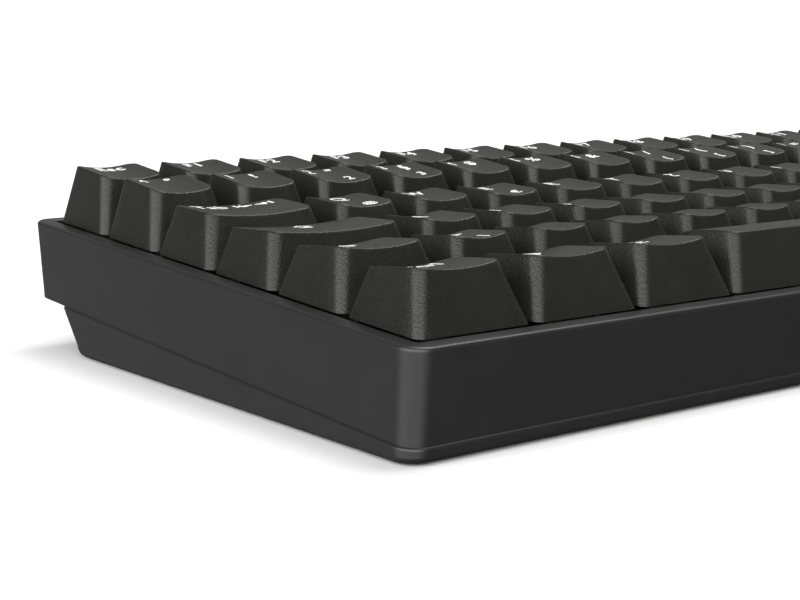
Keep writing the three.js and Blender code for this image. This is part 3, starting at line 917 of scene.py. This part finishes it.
ink_by_body = {}
for name, units, row, body, x, y in KEYS:
    legends = legends_of(name)
    alone = len(legends) < 2 or not legends[1]
    for place, words in enumerate(legends):
        if words:
            mesh = printed(cap_of[name], words, place, alone, x, y)
            ink_by_body.setdefault(body, []).append((mesh, Matrix.Identity(4)))
for body, parts in ink_by_body.items():
    mesh = joined_mesh("legend" + body[3:], parts)
    mesh.materials.clear()
    mesh.materials.append(LEGEND_INK)
    finish_piece("legend" + body[3:], mesh, body)
print(len(texts), "different texts on", len(ink_by_body), "pieces")

# %% [markdown]
# The upper shell is one moulding: an outer wall that leans in at the back, a rounded edge, a flat
# rim and a window for the keys. All of its sections are rounded rectangles, so it is a loft: ring
# after ring of points, from the seam up the outside, over the rim, down the window and back along
# the inside.

# %% The upper shell
RIM_WIDTH = 3.5
KEY_MARGIN = 0.5
CASE_CORNER = 4
SEAM = -14.6
CASE_EDGE = 0.65
EDGE_STEPS = 6
WALL_SUPPORT = 0.15
SUPPORT_INSET = 0.01
DRAFT = 0.35
WINDOW_EDGE = 0.35
WINDOW_STEPS = 3
WINDOW_CORNER = 0.9
REAR_LEAN = math.tan(math.radians(8.6))
CAVITY_MARGIN = 1.8
CAVITY_BACK = 113.2
LIP = -6.3
CASE_LEFT = -KEY_MARGIN - RIM_WIDTH


def case_ring(inset, radius, z):
    points = ring(
        CASE_LEFT + inset, FIELD_WIDTH - CASE_LEFT - inset, CASE_LEFT + inset,
        CASE_BACK - inset, radius, z)
    middle = FIELD_DEPTH / 2
    return [(x, y - (RIM_TOP - z) * REAR_LEAN if y > middle else y, z) for x, y, z in points]


def window_ring(margin, radius, z):
    return ring(-margin, FIELD_WIDTH + margin, -margin, FIELD_DEPTH + margin, radius, z)


wall_top = RIM_TOP - CASE_EDGE - WALL_SUPPORT
rings = [case_ring(DRAFT, CASE_CORNER - DRAFT, SEAM),
         case_ring(SUPPORT_INSET, CASE_CORNER, wall_top)]
for step in range(EDGE_STEPS + 1):
    angle = math.pi / 2 * step / EDGE_STEPS
    inset = CASE_EDGE * (1 - math.cos(angle))
    rings.append(case_ring(inset, CASE_CORNER - inset, RIM_TOP - CASE_EDGE * (1 - math.sin(angle))))
for step in range(WINDOW_STEPS + 1):
    angle = math.pi / 2 * step / WINDOW_STEPS
    margin = KEY_MARGIN + WINDOW_EDGE * (1 - math.sin(angle))
    height = RIM_TOP - WINDOW_EDGE * (1 - math.cos(angle))
    rings.append(window_ring(margin, WINDOW_CORNER, height))
rings.append(window_ring(KEY_MARGIN, WINDOW_CORNER, LIP))
for z in (LIP, SEAM):
    rings.append(ring(-CAVITY_MARGIN, FIELD_WIDTH + CAVITY_MARGIN, -CAVITY_MARGIN,
                      CAVITY_BACK, WINDOW_CORNER, z))
finish_piece(
    "upper_shell", loft("upper_shell", rings, CASE_PLASTIC, closed=True), "case",
    ["top_case"])
print("upper shell:", len(rings), "rings")

# %% [markdown]
# The lower shell is a wedge: its top is parallel to the key field and its underside is level with
# the desk, so in the sloping frame its lower rings fall towards the back. Its rear face slants in
# to a rounded heel. At the seam it stands a hair proud of the upper shell, and that narrow ledge
# draws the light line round the case. A plug is joined to its top, which fills the upper shell's
# cavity a little way up.

# %% The lower shell's loft
SHELL_CLEARANCE = 0.4
LOWER_TOP = SEAM - 0.02
LEDGE = 0.4
SUPPORT = 0.12
WALL_DRAFT = 0.06
BOTTOM_EDGE = 1.0
BOTTOM_STEPS = 4
STEP_Y = 106.2
HEEL_Y, HEEL_Z = 100.6, -20.8
FLAT_END_Y = 97.2
HEEL_START_Y = FLAT_END_Y - 2
PLUG_MARGIN = 1.5
PLUG_BACK = 112.9
PLUG_TOP = -13.7
PLUG_CORNER = 0.6


def level_at(y, height):
    """The z, in the sloping frame, of a point that far above the desk."""
    return (height - deck_height - y * math.sin(tilt)) / math.cos(tilt)


def lower_ring(inset, back, height_at):
    """A ring whose height depends on y, drawn in from the walls by the inset."""
    low, high = CASE_LEFT + inset, FIELD_WIDTH - CASE_LEFT - inset
    points = ring(low, high, low, back, CASE_CORNER - inset, 0)
    return [(x, y, height_at(y)) for x, y, _ in points]


def edge_height(y):
    """The lower edge of the walls, which rises to the heel at the back."""
    heel = max(0.0, (y - HEEL_START_Y) / (HEEL_Y - HEEL_START_Y))
    base = level_at(y, SHELL_CLEARANCE + BOTTOM_EDGE)
    return base + heel * (HEEL_Z - level_at(HEEL_Y, SHELL_CLEARANCE + BOTTOM_EDGE))


rings = [
    lower_ring(LEDGE * 1.2, STEP_Y - LEDGE, lambda y: LOWER_TOP),
    lower_ring(LEDGE * 0.8, STEP_Y - LEDGE, lambda y: LOWER_TOP),
    lower_ring(LEDGE * 0.25, STEP_Y - LEDGE * 0.25, lambda y: LOWER_TOP - LEDGE * 0.4),
    lower_ring(0.0, STEP_Y, lambda y: LOWER_TOP - LEDGE),
    lower_ring(0.0, STEP_Y, lambda y: LOWER_TOP - LEDGE - SUPPORT),
    lower_ring(WALL_DRAFT, HEEL_Y, lambda y: edge_height(y) + SUPPORT),
    lower_ring(WALL_DRAFT, HEEL_Y, edge_height),
]
for step in range(1, BOTTOM_STEPS + 1):
    angle = math.pi / 2 * step / BOTTOM_STEPS
    inward, downward = 1 - math.cos(angle), math.sin(angle)
    rings.append(lower_ring(
        WALL_DRAFT + BOTTOM_EDGE * inward, HEEL_Y + (FLAT_END_Y - HEEL_Y) * inward,
        lambda y: edge_height(y) + downward * (level_at(y, SHELL_CLEARANCE) - edge_height(y))))
rings.reverse()
lower_mesh = loft("lower_shell", rings, CASE_PLASTIC, capped=True)
plug_rings = [ring(-PLUG_MARGIN, FIELD_WIDTH + PLUG_MARGIN, -PLUG_MARGIN, PLUG_BACK,
                   PLUG_CORNER, z)
              for z in (SEAM - 0.1, PLUG_TOP)]
plug_mesh = loft("plug", plug_rings, CASE_PLASTIC, capped=True)
print("lower shell:", len(rings), "rings")

# %% [markdown]
# Pockets for the feet, shallow recesses for the pads, a hole for the data port and round ones for
# the screws are cut out by Booleans. They are square to the desk, so the cutting is done there.

# %% Cut the lower shell
BELOW = -1
FOOT_X, FOOT_Y, FOOT_Z = 53.0, 92.0, 2.7
POCKET_FRONT, POCKET_BACK = 17.2, 2.4
POCKET_HALF_WIDTH, POCKET_TOP, POCKET_CORNER = 13, 5, 0.8
PIN_HOLE, PIN_CORNER, PIN_REACH = 1.25, 1.2, 14.7
PAD_PLACES = [(19.5, 4.5), (19.5, 90.5)]
PAD_HALF_WIDTH, PAD_HALF_DEPTH, PAD_TOP, PAD_CORNER = 12.8, 3.8, 1.5, 1.8
PORT_X, PORT_Y, PORT_Z = 80.0, 90.5, 5.6
PORT_HALF_WIDTH, PORT_HALF_HEIGHT, PORT_CORNER, PORT_LENGTH = 6.5, 3.25, 1.5, 30
SCREW_PLACES = [(38, 14), (152.4, 10), (266.8, 14), (105, 84), (199.8, 84)]
SCREW_HOLE = 2.9
SCREW_RECESS = 1.6


def box_mesh(half_width, y0, y1, z0, z1, radius, x=0.0):
    """A box with rounded upright edges, to cut with."""
    rings = [ring(x - half_width, x + half_width, y0, y1, radius, z) for z in (z0, z1)]
    return loft("cutter", rings, CASE_PLASTIC, capped=True)


def desk_box(x, y0, y1, half_width, top, radius):
    """A box from below the desk up to top, in millimetres: x and y as on the key field."""
    return box_mesh(half_width, y0 - mid_y, y1 - mid_y, BELOW, top, radius, x - FIELD_WIDTH / 2)


def port_cutter():
    mesh = box_mesh(
        PORT_HALF_WIDTH, -PORT_HALF_HEIGHT, PORT_HALF_HEIGHT, 0, PORT_LENGTH, PORT_CORNER)
    place = Matrix.Translation((PORT_X - FIELD_WIDTH / 2, PORT_Y - mid_y, PORT_Z))
    mesh.transform(place @ Matrix.Rotation(-math.pi / 2, 4, "X"))
    return mesh


def pin_cutter(x):
    mesh = box_mesh(PIN_HOLE, -PIN_HOLE, PIN_HOLE, -PIN_REACH, PIN_REACH, PIN_CORNER)
    place = Matrix.Translation((x - FIELD_WIDTH / 2, FOOT_Y - mid_y, FOOT_Z))
    mesh.transform(place @ Matrix.Rotation(math.pi / 2, 4, "Y"))
    return mesh


lower_mesh.transform(DECK_MM)
plug_mesh.transform(DECK_MM)
cutters = [port_cutter()]
for x in (FOOT_X, FIELD_WIDTH - FOOT_X):
    cutters.append(desk_box(x, FOOT_Y - POCKET_FRONT, FOOT_Y + POCKET_BACK,
                            POCKET_HALF_WIDTH, POCKET_TOP, POCKET_CORNER))
    cutters.append(pin_cutter(x))
for x, y in PAD_PLACES:
    for side_x in (x, FIELD_WIDTH - x):
        cutters.append(desk_box(side_x, y - PAD_HALF_DEPTH, y + PAD_HALF_DEPTH,
                                PAD_HALF_WIDTH, PAD_TOP, PAD_CORNER))
for x, y in SCREW_PLACES:
    cutters.append(desk_box(x, y - SCREW_HOLE, y + SCREW_HOLE, SCREW_HOLE,
                            SHELL_CLEARANCE + SCREW_RECESS, SCREW_HOLE - 0.01))
lower_mesh = boolean(boolean(lower_mesh, [plug_mesh], "UNION"), cutters)
finish_piece("lower_shell", lower_mesh, "case", ["bottom_case"],
             Matrix.Scale(MM, 4))
print(len(cutters), "cuts leave", len(lower_mesh.polygons), "faces")

# %% [markdown]
# The screws are all alike, so one tree turns a head with a four-lobed recess and puts an instance
# on every point of the mesh that carries it. The result is turned over, so that the heads look
# at the desk.

# %% The case screws
screw_tree, screw_size = start_tree("case_screws", ["Head radius", "Head height", "Recess depth"])
screw = Outline(screw_tree, (1, 6, 1))
head_radius = screw_size["Head radius"]
LOBE_COUNT, LOBE_DEPTH = 4, 0.3
FACE_SHARE = 0.8
RECESS_SHARE, RECESS_BOTTOM_SHARE = 0.36, 0.24
SCREW_TOP = -0.8
lobes = (screw.u * (LOBE_COUNT * 2 * math.pi)).math("COSINE") * LOBE_DEPTH + 1
turn_u = screw.u * (2 * math.pi)


def screw_ring(share, z, lobed=False):
    reach = head_radius * share * (lobes if lobed else 1)
    return screw.point(turn_u.math("SINE") * reach, 0 - turn_u.math("COSINE") * reach, z)


depth = 0 - screw_size["Recess depth"]
screw.turned([
    screw.point(0.0, 0.0, 0 - screw_size["Head height"]),
    screw_ring(1.0, 0 - screw_size["Head height"]),
    screw_ring(1.0, screw_size["Head height"] * -0.25),
    screw_ring(FACE_SHARE, 0.0),
    screw_ring(RECESS_SHARE, 0.0, lobed=True),
    screw_ring(RECESS_BOTTOM_SHARE, depth, lobed=True),
    screw.point(0.0, 0.0, depth),
])
close_tree(screw_tree, screw.surfaces, screw_size, spread=True)
places = [(x - FIELD_WIDTH / 2, -(y - mid_y), SCREW_TOP) for x, y in SCREW_PLACES]
screws = run_tree(screw_tree, places, Material=TINNED_STEEL, Head_radius=2.4,
                  Head_height=1.4, Recess_depth=0.9)
finish_piece("case_screws", screws, "case", (),
             Matrix.Scale(MM, 4) @ Matrix.Rotation(math.pi, 4, "X"))
print(len(places), "screws,", len(screws.polygons), "faces")

# %% [markdown]
# The circuit board fills the case under the plate, with a switch under every key. A switch's
# housing is a square box whose upper part narrows, with a well for the slider. One tree makes the
# housing and puts it on the eighty-five points where the keys are.

# %% Circuit board and switches
BOARD_TOP, BOARD_BOTTOM = -11.6, -13.2
BOARD_MARGIN, BOARD_BACK, BOARD_CORNER = 1, 112.2, 1.5
PLATE_TOP = -6.6
switch_tree, switch_size = start_tree(
    "switches", ["Half width", "Top half width", "Bottom", "Shoulder", "Top", "Well bottom"])
switch = Outline(switch_tree, (1, 2, 1))
HOUSING_CORNER, HOUSING_TOP_CORNER = 0.6, 0.8
WELL_SIZES = (3.4, 2.7, 0.5)  # half width, half depth and corner
low_sizes = (switch_size["Half width"], switch_size["Half width"], HOUSING_CORNER)
top_sizes = (switch_size["Top half width"], switch_size["Top half width"], HOUSING_TOP_CORNER)
switch.turned([
    switch.point(0.0, 0.0, switch_size["Bottom"]),
    switch.ring(*low_sizes, switch_size["Bottom"]),
    switch.ring(*low_sizes, switch_size["Shoulder"]),
    switch.ring(*top_sizes, switch_size["Top"]),
    switch.ring(*WELL_SIZES, switch_size["Top"]),
    switch.ring(*WELL_SIZES, switch_size["Well bottom"]),
    switch.point(0.0, 0.0, switch_size["Well bottom"]),
])
close_tree(switch_tree, switch.surfaces, switch_size, spread=True)
switch_points = [(x, y, 0) for _, _, _, _, x, y in KEYS]
housings = run_tree(
    switch_tree, switch_points, Material=SWITCH_PLASTIC, Half_width=6.7, Top_half_width=5.0,
    Bottom=BOARD_TOP - 0.2, Shoulder=PLATE_TOP, Top=0.0, Well_bottom=-9.2)
finish_piece("switch_housings", housings, "case", ["circuit_board"])
board_rings = [ring(-BOARD_MARGIN, FIELD_WIDTH + BOARD_MARGIN, -BOARD_MARGIN, BOARD_BACK,
                    BOARD_CORNER, z)
               for z in (BOARD_BOTTOM, BOARD_TOP)]
finish_piece("board", loft("board", board_rings, BOARD_LACQUER, capped=True), "case",
             ["circuit_board"])
print(len(switch_points), "switches,", len(housings.polygons), "faces")

# %% [markdown]
# Feet, pads and port keep the shape that was measured, but a real moulding has no knife edges. A
# copy of each is welded, cleared of the triangles' extra edges and given a narrow bevel, and the
# copy takes the part's place. The plate stays as it is, under its coat of paint.

# %% Rounded copies of the small parts
BEVELLED = {
    "left_foot": ("left_foot", CASE_PLASTIC, "case_plastic", 0.35),
    "right_foot": ("right_foot", CASE_PLASTIC, "case_plastic", 0.35),
    "front_left_pad": ("case", RUBBER, "pad_rubber", 0.3),
    "front_right_pad": ("case", RUBBER, "pad_rubber", 0.3),
    "rear_left_pad": ("case", RUBBER, "pad_rubber", 0.3),
    "rear_right_pad": ("case", RUBBER, "pad_rubber", 0.3),
    "usb_port": ("case", TINNED_STEEL, "port_shell", 0.08),
}


FLAT_ANGLE = math.radians(1)
EDGE_ANGLE = math.radians(40)


def rounded_copy(node, material, width):
    mesh = frame["nodes"][node].data.copy()
    work = bmesh.new()
    work.from_mesh(mesh)
    bmesh.ops.remove_doubles(work, verts=work.verts, dist=1e-6)
    bmesh.ops.dissolve_limit(work, angle_limit=FLAT_ANGLE, verts=work.verts, edges=work.edges)
    sharp = [e for e in work.edges if len(e.link_faces) == 2
             and e.calc_face_angle() > EDGE_ANGLE]
    bmesh.ops.bevel(work, geom=sharp, offset=width * MM, segments=3, profile=0.5,
                    affect="EDGES", clamp_overlap=True)
    bmesh.ops.triangulate(work, faces=work.faces)
    work.to_mesh(mesh)
    work.free()
    mesh.materials.clear()
    mesh.materials.append(material)
    return mesh


for node, (body, material, slot, width) in BEVELLED.items():
    mesh = rounded_copy(node, material, width)
    finish_piece(node + "_finished", mesh, body, [node], Matrix.Identity(4))
for slot in frame["nodes"]["switch_plate"].material_slots:
    slot.material = PAINTED_STEEL
print(len(BEVELLED), "parts rounded, one kept")

# %% [markdown]
# The studio is a wide pale floor under one broad soft sun, which stands high on the right and makes
# the soft shadow at the left. The sky does the rest of the lighting: a wide panel at the front
# left draws the bright lines down the corners of the keys, and a backdrop at the back right gives
# the tops of the keys something to reflect. Reflections don't show the floor, so that the walls
# stay dark, and a weak glow below the horizon at the back left, which only they can reach, makes
# the left walls a little lighter. The camera itself sees plain white wherever it looks past the
# floor, as before a white sweep.

# %% Floor, lights and sky
floor_mesh = bpy.data.meshes.new("floor")
FLOOR_HALF = 30.0  # metres
FLOOR_GREY = 0.76
floor_mesh.from_pydata(
    [(-FLOOR_HALF, -FLOOR_HALF, 0), (FLOOR_HALF, -FLOOR_HALF, 0),
     (FLOOR_HALF, FLOOR_HALF, 0), (-FLOOR_HALF, FLOOR_HALF, 0)], [], [(0, 1, 2, 3)])
floor = bpy.data.objects.new("floor", floor_mesh)
bpy.context.scene.collection.objects.link(floor)
pale, _, _ = new_material(
    "pale_floor", Base_Color=(FLOOR_GREY, FLOOR_GREY, FLOOR_GREY, 1), Roughness=0.9)
floor_mesh.materials.append(pale)
floor.visible_glossy = False

# Directions are in degrees from the front towards the left, and heights from -1, straight down,
# to 1, straight up.
PANEL_AZIMUTH = 55
PANEL_HALF, PANEL_END = 44, 70
PANEL_TOP, PANEL_TOP_END = 0.60, 0.85
PANEL_LOW, PANEL_LOW_END = 0.05, -0.55
PANEL_STRENGTH = 4.9
BACKDROP_SIDE, BACKDROP_SIDE_END = 0.6, 0.2
BACKDROP_TOP, BACKDROP_TOP_END = 0.7, 0.9
BACKDROP_LOW_END = -0.1
BACKDROP_STRENGTH = 0.27
LOW_LEFT_AZIMUTH = 150
LOW_LEFT_HALF, LOW_LEFT_END = 35, 60
LOW_LEFT_TOP_END = 0.1
LOW_LEFT_STRENGTH = 0.26
CEILING_STRENGTH = 0.05
WHITE_BACKGROUND = 2


def soft_sun(name, azimuth, elevation, spread, strength):
    """A distant light from that direction, in degrees; azimuth 0 is the front, 90 the right."""
    light = bpy.data.lights.new(name, "SUN")
    light.energy = strength
    light.angle = math.radians(spread)
    sun = bpy.data.objects.new(name, light)
    a, e = math.radians(azimuth), math.radians(elevation)
    towards = Vector((math.sin(a) * math.cos(e), -math.cos(a) * math.cos(e), math.sin(e)))
    sun.rotation_euler = towards.to_track_quat("Z", "Y").to_euler()
    bpy.context.scene.collection.objects.link(sun)


soft_sun("overhead_light", azimuth=95, elevation=68, spread=40, strength=2.7)

world = bpy.data.worlds.new("sky")
bpy.context.scene.world = world
world.use_nodes = True
sky_tree = world.node_tree
direction = output(add_node(sky_tree, "ShaderNodeTexCoord"), "Generated")
split = add_node(sky_tree, "ShaderNodeSeparateXYZ", {0: direction})
height = output(split, "Z")
azimuth = output(split, "X").math("ARCTAN2", 0 - output(split, "Y"))


def fading(wire, start, end):
    """1 up to start, fading to 0 at end, or the other way round if end is less than start."""
    return ((end - wire) / (end - start)).math("ADD", 0.0, clamp=True)


def around(middle, half, end):
    """1 up to half from the middle direction, fading to 0 at end, in degrees."""
    aside = (azimuth + math.radians(middle)).math("ABSOLUTE")
    return fading(aside, math.radians(half), math.radians(end))


panel = around(PANEL_AZIMUTH, PANEL_HALF, PANEL_END)
panel = panel * fading(height, PANEL_TOP, PANEL_TOP_END) * fading(height, PANEL_LOW, PANEL_LOW_END)
to_back_right = (output(split, "X") + output(split, "Y")) * math.sqrt(0.5)
backdrop = fading(to_back_right, BACKDROP_SIDE, BACKDROP_SIDE_END)
backdrop = backdrop * fading(height, BACKDROP_TOP, BACKDROP_TOP_END)
backdrop = backdrop * fading(height, 0.0, BACKDROP_LOW_END)
low_left = around(LOW_LEFT_AZIMUTH, LOW_LEFT_HALF, LOW_LEFT_END)
low_left = low_left * fading(height, 0.0, LOW_LEFT_TOP_END)
lighting = (panel * PANEL_STRENGTH + backdrop * BACKDROP_STRENGTH + CEILING_STRENGTH
            + low_left * LOW_LEFT_STRENGTH)
seen = output(add_node(sky_tree, "ShaderNodeLightPath"), "Is Camera Ray")
connect(sky_tree.nodes["Background"].inputs["Strength"], lighting + seen * WHITE_BACKGROUND)
sky_tree.nodes["Background"].inputs["Color"].default_value = (1, 1, 1, 1)
bpy.context.scene.view_settings.view_transform = "Standard"
print("floor, one sun and a sky with three bright parts")
